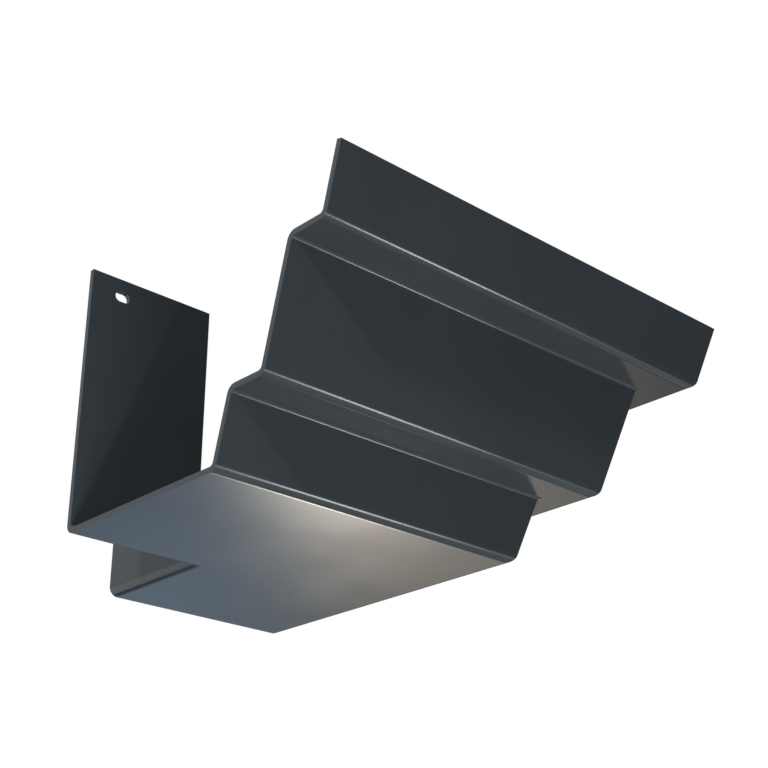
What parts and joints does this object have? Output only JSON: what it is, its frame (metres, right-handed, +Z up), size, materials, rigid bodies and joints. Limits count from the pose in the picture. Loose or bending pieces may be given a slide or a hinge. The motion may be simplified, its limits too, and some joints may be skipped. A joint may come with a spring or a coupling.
{
  "type": "external gutter corner",
  "caption": "Mitred L-shaped outside corner for a folded box gutter, with an upright slotted back, level sole and stepped leaning front.",
  "frame": {"origin": "where the two wall faces meet, at the level of the sole's underside", "axes": "+Z up; the wall faces lie in the planes y = 0 and x = 0, with the building in x < 0 and y > 0; one leg runs towards -X and the other towards +Y"},
  "size_m": [0.2305, 0.2305, 0.124],
  "materials": {
    "powder_coat": "anthracite grey powder coat, smooth satin"
  },
  "bodies": {
    "root": {"gutter_corner": "powder_coat"}
  },
  "joints": []
}
